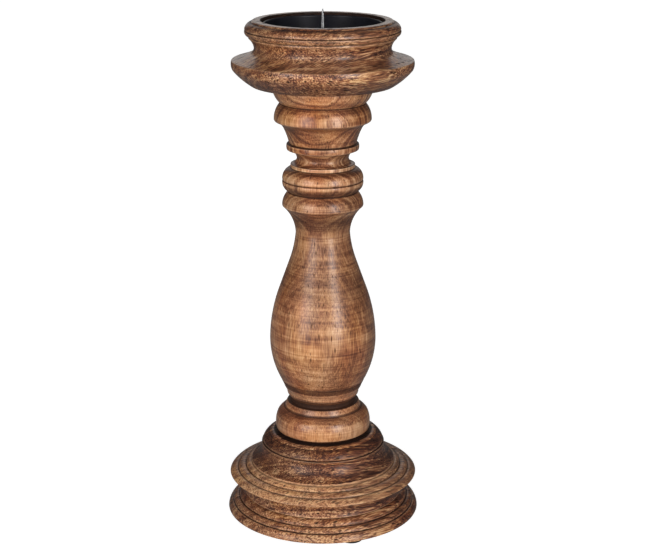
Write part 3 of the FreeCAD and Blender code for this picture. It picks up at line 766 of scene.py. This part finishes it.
def waxed_mango(name, grain, pith, stain, figure, marks=()):
    """Mango wood, turned and sanded on the lathe, stained and rubbed with a clear wax.

    The figure is solid: growth rings round the pith, long fibres and open pores that run with the
    grain, so each face shows the side or the end of the same wood. Grooves keep dark wax, and grooves,
    coves and deep recesses are painted dark as shade; arrises are rubbed light and carry a painted
    highlight, one side is painted lighter or darker as light and shade, and the wax leaves a satin
    sheen. Marks are (start, end, half width) of small cracks.
    """
    material, tree, surface = new_material(name)
    place = add_node(tree, "ShaderNodeTexCoord", output=None)
    point = add_node(tree, VECTOR, {0: place["Object"], "Scale": 1 / MM}, operation="SCALE")
    level = add_node(tree, "ShaderNodeSeparateXYZ", (point,), output="Z")
    groove, arris, hollow, bare, turned_tone = (
        add_node(tree, "ShaderNodeAttribute", output="Fac", attribute_name=mark)
        for mark in ("groove", "arris", "hollow", "bare", "tone")
    )
    grown = grown_space(tree, point, grain, pith, figure["sway"])
    shown = mango_grain(tree, grown, level, figure)
    tone = wood_tone(tree, point, level, place["Normal"], grain, shown, turned_tone, figure)
    colour = add_node(tree, "ShaderNodeValToRGB", (tone,), stops=stain["tones"])
    gold = add_node(tree, RANGE, (shown["gold"], 0.45, 0.68, 0.0, stain["gold_share"]))
    colour = add_node(tree, MIX, {0: gold, 6: colour, 7: stain["golden"]}, 2, data_type="RGBA",
                      blend_type="SOFT_LIGHT")
    red = add_node(tree, RANGE, (shown["red"], 0.42, 0.62, 0.0, stain["red_share"]))
    colour = add_node(tree, MIX, {0: red, 6: colour, 7: stain["red"]}, 2, data_type="RGBA",
                      blend_type="SOFT_LIGHT")
    pores = add_node(tree, MATH, (shown["pores"], PORE_DARKNESS), operation="MULTIPLY")
    colour = add_node(tree, MIX, {0: pores, 6: colour, 7: stain["pore"]}, 2, data_type="RGBA")

    # Dark wax fills the grooves, and the same dark colour is painted as shade in the grooves, more thinly in
    # the coves, and on the dark members' recesses
    groove_wax_and_shade = add_node(tree, RANGE, (groove, 0.04, 0.16, 0.0, 0.9))
    hollow_shade = add_node(tree, RANGE, (hollow, 0.2, 0.9, 0.0, 0.45))
    wax_and_shade_by_tone = add_node(tree, RANGE, (turned_tone, -0.1, -1.0, 0.0, 0.93))
    wax_and_shade = add_node(tree, MATH, (groove_wax_and_shade, hollow_shade), operation="MAXIMUM")
    wax_and_shade = add_node(tree, MATH, (wax_and_shade, wax_and_shade_by_tone), operation="MAXIMUM")
    colour = add_node(tree, MIX, {0: wax_and_shade, 6: colour, 7: stain["wax_and_shade"]}, 2, data_type="RGBA")

    # The arrises and the proud members are rubbed light and painted with a highlight, the fibres more than
    # the wood between them
    worn_and_highlit = add_node(tree, RANGE, (arris, 0.05, 0.28, 0.0, 0.65))
    rubbed_and_highlit = add_node(tree, RANGE, (turned_tone, 0.2, 1.0, 0.0, 0.4))
    rubbed_and_highlit = add_node(tree, MATH, (worn_and_highlit, rubbed_and_highlit), operation="MAXIMUM")
    proud = add_node(tree, RANGE, (shown["fibres"], 0.3, 0.6, 0.45, 1.0))
    rubbed_and_highlit = add_node(tree, MATH, (rubbed_and_highlit, proud), operation="MULTIPLY")
    colour = add_node(tree, MIX, {0: rubbed_and_highlit, 6: colour, 7: stain["rubbed_and_highlit"]}, 2, data_type="RGBA")
    colour = add_node(tree, MIX, {0: bare, 6: colour, 7: stain["bare"]}, 2, data_type="RGBA")
    open_grain = shown["pores"]
    if marks:
        cracks = crack_lines(tree, point, marks)
        colour = add_node(tree, MIX, {0: cracks, 6: colour, 7: stain["pore"]}, 2, data_type="RGBA")
        open_grain = add_node(tree, MATH, (open_grain, cracks), operation="MAXIMUM")
    tree.links.new(colour, surface.inputs["Base Color"])

    # The sheen is uneven: pores, grooves and bare wood are dull, and fibres duller than what is between
    dullness = add_node(tree, RANGE, (shown["fibres"], 0.3, 0.7, *figure["dullness"]))
    for share, value in ((0.35, open_grain), (0.3, wax_and_shade), (0.35, bare)):
        dullness = add_node(tree, MATH, (value, share, dullness), operation="MULTIPLY_ADD")
    tree.links.new(dullness, surface.inputs["Roughness"])
    matt = add_node(tree, MATH, (wax_and_shade, open_grain), operation="MAXIMUM")
    polish = add_node(tree, MATH, (matt, -figure["polish"], figure["polish"]), operation="MULTIPLY_ADD")
    tree.links.new(polish, surface.inputs["Coat Weight"])
    surface.inputs["IOR"].default_value = WOOD_IOR
    surface.inputs["Coat Roughness"].default_value = WAX_ROUGHNESS
    surface.inputs["Coat IOR"].default_value = WAX_IOR

    # Open pores sink, the fibres stand proud of the softer wood, and sanding leaves ripples
    height = add_node(tree, MATH, (open_grain, -PORE_DEPTH), operation="MULTIPLY")
    height = add_node(tree, MATH, (shown["fibres"], figure["fibre_height"], height), operation="MULTIPLY_ADD")
    height = add_node(tree, MATH, (shown["turning"], SANDING_HEIGHT, height), operation="MULTIPLY_ADD")
    bump = add_node(tree, "ShaderNodeBump", {"Height": height, "Distance": MM, "Strength": 0.8})
    tree.links.new(bump, surface.inputs["Normal"])
    return material


# Each stain's colours from the darkest wood to the lightest, the golden and red wood under it and how
# much they show, and what lies on it: pores, dark wax that also paints the shade in grooves and
# recesses, rubbed arrises that also carry a painted highlight, and bare wood
DARK_STAIN = {
    "tones": ((0.15, "#361b12"), (0.38, "#663e2c"), (0.52, "#8f5f43"), (0.66, "#b5855c"), (0.85, "#e0ba8f")),
    "golden": "#c8a04c",
    "gold_share": 0.4,
    "red": "#a86450",
    "red_share": 0.28,
    "pore": "#26140f",
    "wax_and_shade": "#22120b",
    "rubbed_and_highlit": "#d6a880",
    "bare": "#8a6a4c",
}
TAN_STAIN = {
    "tones": ((0.15, "#55311c"), (0.36, "#8a5b3f"), (0.52, "#b5855d"), (0.68, "#cfa17a"), (0.88, "#e8c7a2")),
    "golden": "#c9a048",
    "gold_share": 0.45,
    "red": "#b67258",
    "red_share": 0.35,
    "pore": "#48291a",
    "wax_and_shade": "#2a160c",
    "rubbed_and_highlit": "#e2ba98",
    "bare": "#a98460",
}

# The figure of each board. Sway, widths, cells and heights are in millimetres, and pore_size is a share
# of PORE_CELL. Fibres are 0.02 mm wide and are drawn some 0.8 mm wide so that they show. The strengths
# from fibres to end_grain say how far each part moves the tone. Rings go from one strength to another
# between two levels, and a painted light and shade moves the tone from one value to another between
# two distances from the axis towards one side
DARK_FIGURE = {
    "sway": 12,
    "ring_width": 3,
    "rings": (0.65, 0.65),
    "ring_levels": (0, 350),
    "fibre_cell": (0.8, 0.8, 14),
    "fibre_height": 0.22,
    "fibres": 2.1,
    "streaks": 0.75,
    "curl": 0.0,
    "turning": 0.25,
    "patches": 0.4,
    "end_grain": -0.1,
    "pore_size": 0.5,
    "dullness": (0.4, 0.54),
    "polish": 1.0,
    "painted_light_side": (-0.35, -0.94, 0),
    "painted_light_reach": (8, 58),
    "painted_light": (-0.16, 0.1),
}
BASE_FIGURE = {**DARK_FIGURE, "polish": 0.55}
CUP_FIGURE = {**DARK_FIGURE, "painted_light": (-0.04, 0.02)}
TAN_FIGURE = {
    "sway": 14,
    "ring_width": 1.9,
    "rings": (0.35, 1.15),
    "ring_levels": (185, 250),
    "fibre_cell": (0.7, 0.7, 14),
    "fibre_height": 0.13,
    "fibres": 1.0,
    "streaks": 0.2,
    "curl": 0.65,
    "turning": 0.4,
    "patches": 0.4,
    "end_grain": -0.2,
    "pore_size": 0.34,
    "dullness": (0.36, 0.5),
    "polish": 1.0,
    "painted_light_side": (1, 0, 0),
    "painted_light_reach": (5, 30),
    "painted_light": (0.02, -0.06),
}

# Small marks of use on the column, as lines from a start to an end with their half width: a nick, a
# crack in two strokes, a chip, a second crack and a streak of open pores
COLUMN_MARKS = (
    ((7.3, -23.5, 267.4), (7.6, -23.4, 265.9), 0.5),
    ((-7.15, -21.56, 250.65), (-7.8, -23.57, 249.41), 0.55),
    ((-7.8, -23.57, 249.41), (-8.46, -24.78, 247.98), 0.55),
    ((-10.5, -25.7, 225.2), (-10.2, -25.9, 226.4), 0.5),
    ((25.2, -26.9, 129.5), (25.9, -26.3, 126.3), 0.55),
    ((0.8, -36.4, 121.9), (0.8, -35.1, 113.0), 0.3),
    ((0.8, -35.1, 113.0), (0.8, -31.5, 104.1), 0.3),
)


def base_wood():
    """Dark stained mango with level grain that runs to the front left."""
    return waxed_mango("mango_dark_base", (-0.84, -0.53, 0.08), (30, -40, -60), DARK_STAIN, BASE_FIGURE)


def cup_wood():
    """Dark stained mango from another board, with level grain."""
    return waxed_mango("mango_dark_cup", (-0.83, -0.55, -0.06), (20, -30, 250), DARK_STAIN, CUP_FIGURE)


def column_wood():
    """Tan stained mango with upright grain, its pith a little behind the column."""
    return waxed_mango("mango_tan_column", (0.02, 0.05, 1), (9, 69, 3), TAN_STAIN, TAN_FIGURE,
                       COLUMN_MARKS)


def satin_enamel():
    """Pressed steel under a black satin enamel, sprayed and stoved: nearly black, softly glossy.

    The scales are cells to the metre: the orange peel is 1 mm wide and the cloudy patches 17 mm.
    """
    material, tree, surface = new_material("enamel_black_satin")
    place = add_node(tree, "ShaderNodeTexCoord", output="Object")
    peel = add_node(tree, NOISE, {"Vector": place, "Scale": 900.0})
    cloud = add_node(tree, NOISE, {"Vector": place, "Scale": 60.0, "Detail": 4.0})
    colour = add_node(tree, "ShaderNodeValToRGB", (cloud,), stops=((0.3, "#17181f"), (0.7, "#25262f")))
    tree.links.new(colour, surface.inputs["Base Color"])
    dullness = add_node(tree, RANGE, (cloud, 0.0, 1.0, 0.3, 0.45))
    tree.links.new(dullness, surface.inputs["Roughness"])
    bump = add_node(tree, "ShaderNodeBump", {"Height": peel, "Distance": 0.02 * MM})
    tree.links.new(bump, surface.inputs["Normal"])
    return material


def turned_steel(name, light, dark, mark_width):
    """Bare or plated steel with fine turning marks round the axis: bright, with a soft broken shine.

    The marks are some 0.05 mm wide and are drawn mark_width millimetres wide so that they show.
    """
    material, tree, surface = new_material(name)
    place = add_node(tree, "ShaderNodeTexCoord", output="Object")
    level = add_node(tree, "ShaderNodeSeparateXYZ", (place,), output="Z")
    count = add_node(tree, MATH, (level, mark_width * MM), operation="DIVIDE")
    marks = add_node(tree, NOISE, {"W": count, "Scale": 1.0, "Detail": 3.0}, noise_dimensions="1D")
    cloud = add_node(tree, NOISE, {"Vector": place, "Scale": 250.0, "Detail": 3.0})
    colour = add_node(tree, "ShaderNodeValToRGB", (cloud,), stops=((0.3, dark), (0.7, light)))
    tree.links.new(colour, surface.inputs["Base Color"])
    surface.inputs["Metallic"].default_value = 1.0
    dullness = add_node(tree, RANGE, (marks, 0.0, 1.0, 0.25, 0.45))
    tree.links.new(dullness, surface.inputs["Roughness"])
    bump = add_node(tree, "ShaderNodeBump", {"Height": marks, "Distance": 0.03 * MM})
    tree.links.new(bump, surface.inputs["Normal"])
    return material


def moulded_rubber():
    """Black rubber, moulded in a fine-blasted tool: matt, with a faint grain and a little dust.

    The blasted grain is 0.1 mm wide and is drawn 0.7 mm wide so that it shows.
    """
    material, tree, surface = new_material("rubber_black_moulded")
    place = add_node(tree, "ShaderNodeTexCoord", output="Object")
    grain = add_node(tree, NOISE, {"Vector": place, "Scale": 1500.0})
    dust = add_node(tree, NOISE, {"Vector": place, "Scale": 120.0, "Detail": 3.0})
    colour = add_node(tree, "ShaderNodeValToRGB", (dust,), stops=((0.35, "#101010"), (0.75, "#242322")))
    tree.links.new(colour, surface.inputs["Base Color"])
    surface.inputs["Roughness"].default_value = 0.75
    bump = add_node(tree, "ShaderNodeBump", {"Height": grain, "Distance": 0.03 * MM})
    tree.links.new(bump, surface.inputs["Normal"])
    return material


def base():
    """The dark foot, turned in two steps, with its bores."""
    mouth = (COUNTERBORE_RADIUS + COUNTERBORE_EASE, BASE_UNDERSIDE, 0)
    strokes = [
        mouth,
        *member_strokes(BASE_FOOT_RADIUS, BASE_UNDERSIDE, BASE_MEMBERS, BASE_LINES),
        (SOCKET_RADIUS, COLUMN_SEAT, 0),
        (SOCKET_RADIUS, BASE_SOCKET_END, 0),
        (SCREW_HOLE_RADIUS, BASE_SOCKET_END, 0),
        (SCREW_HOLE_RADIUS, BASE_COUNTERBORE_END, 0),
        (COUNTERBORE_RADIUS, BASE_COUNTERBORE_END, 0),
        (COUNTERBORE_RADIUS, BASE_UNDERSIDE + COUNTERBORE_EASE, 0),
        mouth,
    ]

    def is_bare(radius, level):
        return radius < BASE_BARE_RADIUS or level < BASE_BARE_LEVEL

    def tone_at(radius, level):
        # Round the column's seat, the tone is a painted shadow from the column's foot
        return SEAT_SHADE if radius < SEAT_SHADE_RADIUS else member_tone(level, BASE_UNDERSIDE, BASE_MEMBERS)

    piece = turned_wood("turned_base", strokes, is_bare, tone_at)
    finish_piece(piece, base_wood(), "root", "base")


def column():
    """The tan baluster column with a tenon at each end and its screw holes."""
    tenon_end = TENON_RADIUS - TENON_EASE
    strokes = [
        (0, LOWER_HOLE_END, 0),
        (SCREW_HOLE_RADIUS, LOWER_HOLE_END, 0),
        (SCREW_HOLE_RADIUS, LOWER_TENON_END, 0),
        (tenon_end, LOWER_TENON_END, 0),
        (TENON_RADIUS, LOWER_TENON_END + TENON_EASE, 0),
        (TENON_RADIUS, COLUMN_SEAT, 0),
        *member_strokes(COLUMN_FOOT_RADIUS, COLUMN_SEAT, COLUMN_MEMBERS, COLUMN_LINES),
        (TENON_RADIUS, CUP_SEAT, 0),
        (TENON_RADIUS, UPPER_TENON_END - TENON_EASE, 0),
        (tenon_end, UPPER_TENON_END, 0),
        (SCREW_HOLE_RADIUS, UPPER_TENON_END, 0),
        (SCREW_HOLE_RADIUS, UPPER_HOLE_END, 0),
        (0, UPPER_HOLE_END, 0),
    ]

    def is_bare(radius, _):
        return radius < COLUMN_BARE_RADIUS

    def tone_at(_, level):
        return member_tone(level, COLUMN_SEAT, COLUMN_MEMBERS)

    piece = turned_wood("turned_column", strokes, is_bare, tone_at)
    finish_piece(piece, column_wood(), "root", "column")


def cup():
    """The dark bowl with a rolled rim, its recess for the dish and its bores."""
    strokes = [
        (SOCKET_RADIUS, CUP_SEAT, 0),
        *member_strokes(CUP_FOOT_RADIUS, CUP_SEAT, CUP_MEMBERS, CUP_LINES),
        (RECESS_RADIUS + RECESS_EASE, RIM, 0),
        (RECESS_RADIUS, RIM - RECESS_EASE, 0),
        (RECESS_RADIUS, CUP_FLOOR, 0),
        (COUNTERBORE_RADIUS, CUP_FLOOR, 0),
        (COUNTERBORE_RADIUS, CUP_COUNTERBORE_END, 0),
        (SCREW_HOLE_RADIUS, CUP_COUNTERBORE_END, 0),
        (SCREW_HOLE_RADIUS, CUP_SOCKET_END, 0),
        (SOCKET_RADIUS, CUP_SOCKET_END, 0),
        (SOCKET_RADIUS, CUP_SEAT, 0),
    ]

    def is_bare(radius, level):
        return radius < CUP_BARE_RADIUS and CUP_BARE_LEVELS[0] < level < CUP_BARE_LEVELS[1]

    def tone_at(radius, level):
        # Inside the mouth, the tone is a painted shade in the gap between the wood and the dish
        return MOUTH_SHADE if radius < MOUTH_SHADE_RADIUS else member_tone(level, CUP_SEAT, CUP_MEMBERS)

    piece = turned_wood("turned_cup", strokes, is_bare, tone_at)
    finish_piece(piece, cup_wood(), "root", "cup")


def candle_dish(enamel):
    """The pressed steel dish: a flat floor, a wall that opens a little and a lip rolled outwards."""
    wall_radius = DISH_FOOT_RADIUS + DISH_FOOT_EASE
    wall_foot = DISH_UNDERSIDE + DISH_FOOT_EASE
    piece = small_round_piece("pressed_dish", [
        (PRICKET_HOLE, DISH_UNDERSIDE, 0),
        (DISH_FOOT_RADIUS, DISH_UNDERSIDE, 0),
        (wall_radius, wall_foot, QUARTER_ROUND),
        *DISH_LIP,
        (wall_radius - DISH_SHEET, wall_foot, 0),
        (DISH_FOOT_RADIUS, DISH_FLOOR, -QUARTER_ROUND),
        *DISH_RING,
        (PRICKET_HOLE, DISH_FLOOR, 0),
        (PRICKET_HOLE, DISH_UNDERSIDE, 0),
    ])
    finish_piece(piece, enamel, "dish", "candle_dish")


def pricket(steel):
    """The turned spike, riveted through the dish's floor, with a collar that it stands on."""
    rivet_top = DISH_UNDERSIDE - WASHER_THICKNESS
    piece = small_round_piece("turned_pricket", [
        (0, RIVET_END, 0),
        (RIVET_END_RADIUS, RIVET_END, 0),
        (RIVET_RADIUS, rivet_top, 0.2),
        (PRICKET_SHANK, rivet_top, 0),
        (PRICKET_SHANK, DISH_FLOOR, 0),
        (COLLAR_RADIUS, DISH_FLOOR, 0),
        (COLLAR_RADIUS, COLLAR_TOP - COLLAR_EASE, 0),
        (COLLAR_RADIUS - COLLAR_EASE, COLLAR_TOP, QUARTER_ROUND),
        (SPIKE_ROOT_RADIUS, COLLAR_TOP, 0),
        (CONE_RADIUS, CONE_START, -0.15),
        (SPIKE_END_RADIUS, SPIKE_END - SPIKE_END_RADIUS, 0.012),
        (0, SPIKE_END, QUARTER_ROUND),
    ])
    finish_piece(piece, steel, "dish", "pricket")


def washer(name, node, body, steel, hole, radius, low):
    """A stamped washer, from its low face up."""
    piece = small_round_piece(name, [
        (hole, low, 0),
        (radius, low, 0),
        (radius, low + WASHER_THICKNESS, 0),
        (hole, low + WASHER_THICKNESS, 0),
        (hole, low, 0),
    ])
    finish_piece(piece, steel, body, node)


def thread(low, high):
    """The thread of a wood screw: one sharp ridge wound round its shank."""
    ridge = draw_outline("thread", [
        (THREAD_ROOT, low, 0),
        (THREAD_CREST, low + THREAD_FLANK, 0),
        (THREAD_ROOT, low + 2 * THREAD_FLANK, 0),
        (THREAD_ROOT, low, 0),
    ])
    bpy.ops.object.mode_set(mode="OBJECT")
    winding = ridge.modifiers.new("winding", "SCREW")
    winding.steps = THREAD_STEPS
    winding.render_steps = THREAD_STEPS
    winding.screw_offset = THREAD_PITCH * MM
    winding.iterations = int((high - low) / THREAD_PITCH) - 1
    bpy.ops.object.modifier_apply(modifier=winding.name)
    bpy.ops.object.mode_set(mode="EDIT")
    bpy.ops.mesh.select_all(action="SELECT")
    bpy.ops.mesh.fill_holes(sides=0)
    bpy.ops.mesh.select_all(action="SELECT")
    bpy.ops.mesh.normals_make_consistent(inside=False)
    bpy.ops.object.mode_set(mode="OBJECT")
    return ridge


def cut_cross(piece, level):
    """Cut the two crossed slots that a screwdriver fits in."""
    for size in ((CROSS_LENGTH, CROSS_WIDTH), (CROSS_WIDTH, CROSS_LENGTH)):
        bpy.ops.mesh.primitive_cube_add(size=MM, location=(0, 0, level * MM))
        cutter = bpy.context.object
        cutter.scale = (*size, 2 * CROSS_DEPTH)
        choose(piece)
        slot = piece.modifiers.new("slot", "BOOLEAN")
        slot.object = cutter
        slot.operation = "DIFFERENCE"
        bpy.ops.object.modifier_apply(modifier=slot.name)
        bpy.data.objects.remove(cutter)


def wood_screw(name, node, steel, head_face, shank_end):
    """A wood screw with a cheese head and crossed slots; its face may look up or down."""
    way = 1 if shank_end > head_face else -1
    length = abs(shank_end - head_face)
    outline = [
        (0, 0, 0),
        (HEAD_FACE_RADIUS, 0, 0.02),
        (HEAD_RADIUS, HEAD_EASE, QUARTER_ROUND),
        (HEAD_RADIUS, HEAD_HEIGHT, 0),
        (SHANK_CORE, HEAD_HEIGHT, 0),
        (SHANK_CORE, length - POINT_LENGTH, 0),
        (POINT_RADIUS, length - POINT_RADIUS, 0),
        (0, length, QUARTER_ROUND),
    ]
    strokes = [(radius, head_face + way * rise, bow) for radius, rise, bow in outline]

    # An outline is drawn upwards, so that of a screw that points down is taken from its other end
    if way < 0:
        ends = [(radius, level) for radius, level, _ in strokes]
        bows = [bow for _, _, bow in strokes[1:]]
        strokes = [(*end, bow) for end, bow in zip(reversed(ends), [0, *reversed(bows)])]
    piece = small_round_piece(name, strokes)
    cut_cross(piece, head_face)
    low, high = sorted((head_face + way * THREAD_START, shank_end - way * THREAD_STOP))
    choose(piece, thread(low, high))
    bpy.ops.object.join()
    bpy.ops.object.shade_smooth_by_angle(angle=SMOOTH_ANGLE)
    finish_piece(piece, steel, "root", node)


def foot_pads(rubber, zinc):
    """Four moulded pads on a circle under the base, and the nail sunk in each."""
    pads = [small_round_piece("moulded_pad_1", [
        (NAIL_RECESS_RADIUS, 0, 0),
        (PAD_RADIUS - PAD_FOOT_EASE, 0, 0),
        (PAD_RADIUS, PAD_FOOT_EASE, QUARTER_ROUND),
        (PAD_RADIUS, BASE_UNDERSIDE - PAD_TOP_EASE, 0),
        (PAD_RADIUS - PAD_TOP_EASE, BASE_UNDERSIDE, QUARTER_ROUND),
        (NAIL_HOLE, BASE_UNDERSIDE, 0),
        (NAIL_HOLE, NAIL_RECESS_DEPTH, 0),
        (NAIL_RECESS_RADIUS, NAIL_RECESS_DEPTH, 0),
        (NAIL_RECESS_RADIUS, 0, 0),
    ])]
    nails = [small_round_piece("pad_nails", [
        (0, NAIL_FACE_LEVELS[0], 0),
        (NAIL_FACE_RADIUS, NAIL_FACE_LEVELS[1], 0.02),
        (NAIL_HEAD_RADIUS, NAIL_HEAD_EASE_END, QUARTER_ROUND),
        (NAIL_HEAD_RADIUS, NAIL_RECESS_DEPTH, 0),
        (NAIL_SHANK, NAIL_RECESS_DEPTH, 0),
        (NAIL_SHANK, NAIL_END - NAIL_POINT_LENGTH, 0),
        (0, NAIL_END, 0),
    ])]
    for number in range(2, PAD_COUNT + 1):
        pads.append(copy_piece(pads[0], f"moulded_pad_{number}"))
        nails.append(copy_piece(nails[0], f"pad_nail_{number}"))
    for number, (pad, nail) in enumerate(zip(pads, nails)):
        turn = FIRST_PAD_TURN + number * math.tau / PAD_COUNT
        x = PAD_CIRCLE * math.cos(turn)
        y = PAD_CIRCLE * math.sin(turn)
        shift_mesh(pad, x, y)
        shift_mesh(nail, x, y)
        finish_piece(pad, rubber, "root", f"foot_pad_{number + 1}")
    choose(*nails)
    bpy.ops.object.join()
    finish_piece(nails[0], zinc, "root", "foot_pad_nails")


def aim(lamp, target):
    """Turn a lamp to shine at a point."""
    lamp.rotation_euler = (Vector(target) - lamp.location).to_track_quat("-Z", "Y").to_euler()


def softbox(name, place, target, width, height, power, shows_in_gloss):
    """A soft rectangular lamp that the camera doesn't see."""
    bpy.ops.object.light_add(type="AREA", location=place)
    lamp = bpy.context.object
    lamp.name = name
    lamp.data.shape = "RECTANGLE"
    lamp.data.size = width
    lamp.data.size_y = height
    lamp.data.energy = power
    lamp.data.color = LAMP_COLOUR
    lamp.visible_camera = False
    lamp.visible_glossy = shows_in_gloss
    aim(lamp, target)


def backdrop_share(tree):
    """Say how much of the white backdrop a ray sees: all for the camera and glass, less in a gloss."""
    seen = add_node(tree, "ShaderNodeLightPath", output=None)
    gloss = add_node(tree, MATH, (seen["Is Glossy Ray"], GLOSS_BACKDROP), operation="MULTIPLY")
    direct = add_node(tree, MATH, (seen["Is Camera Ray"], seen["Is Transmission Ray"]), operation="MAXIMUM")
    return add_node(tree, MATH, (direct, gloss), operation="MAXIMUM")


def studio():
    """A white sweep under the stand, a soft lamp in front, a tall one on each side and one behind."""
    bpy.ops.object.select_all(action="DESELECT")
    bpy.ops.mesh.primitive_plane_add(size=FLOOR_WIDTH)
    floor = bpy.context.object
    floor.name = "studio_floor"
    material, tree, surface = new_material("floor_white_matt")
    surface.inputs["Base Color"].default_value = linear_colour("#9c9c9c")
    surface.inputs["Roughness"].default_value = 0.9
    surface.inputs["Specular IOR Level"].default_value = 0.1
    place = add_node(tree, "ShaderNodeTexCoord", output="Object")
    away = add_node(tree, VECTOR, (place,), output="Value", operation="LENGTH")
    glow = add_node(tree, RANGE, (away, *GLOW_REACH, *GLOW))
    lift = add_node(tree, MATH, (backdrop_share(tree), glow), operation="MULTIPLY")
    surface.inputs["Emission Color"].default_value = linear_colour("#ffffff")
    tree.links.new(lift, surface.inputs["Emission Strength"])
    floor.data.materials.append(material)

    world = bpy.data.worlds.new("studio_daylight")
    world.use_nodes = True
    bpy.context.scene.world = world
    tree = world.node_tree
    sky = tree.nodes["Background"]
    strength = add_node(tree, MATH, (backdrop_share(tree), SKY_LIGHT), operation="MAXIMUM")
    sky.inputs["Color"].default_value = linear_colour("#ffffff")
    tree.links.new(strength, sky.inputs["Strength"])

    for name, row in LAMPS.items():
        softbox(name, *row)


def camera():
    """The camera: a little to the right of the axis, 0.49 m up and 1.05 m in front, looking down."""
    bpy.ops.object.camera_add(location=CAMERA_PLACE, rotation=(math.radians(90) - CAMERA_DIP, 0, 0))
    eye = bpy.context.object
    eye.data.sensor_width = FILM_WIDTH
    eye.data.lens = LENS
    bpy.context.scene.camera = eye


base()
column()
cup()

bright = turned_steel("steel_bare_turned", "#c4c7ca", "#8b8e92", 0.35)
zinc = turned_steel("steel_zinc_plated", "#b9bcbe", "#8f9397", 0.5)
candle_dish(satin_enamel())
pricket(bright)
washer("stamped_pricket_washer", "pricket_washer", "dish", bright,
       PRICKET_HOLE, PRICKET_WASHER_RADIUS, DISH_UNDERSIDE - WASHER_THICKNESS)
washer("stamped_base_washer", "base_screw_washer", "root", zinc,
       SCREW_WASHER_HOLE, SCREW_WASHER_RADIUS, BASE_COUNTERBORE_END - WASHER_THICKNESS)
washer("stamped_cup_washer", "cup_screw_washer", "root", zinc,
       SCREW_WASHER_HOLE, SCREW_WASHER_RADIUS, CUP_COUNTERBORE_END)
wood_screw("zinc_base_screw", "base_screw", zinc,
           BASE_COUNTERBORE_END - WASHER_THICKNESS - HEAD_HEIGHT, LOWER_HOLE_END - SCREW_END_GAP)
wood_screw("zinc_cup_screw", "cup_screw", zinc,
           CUP_COUNTERBORE_END + WASHER_THICKNESS + HEAD_HEIGHT, UPPER_HOLE_END + SCREW_END_GAP)
foot_pads(moulded_rubber(), zinc)

studio()
camera()
bpy.context.scene.view_settings.view_transform = "Standard"
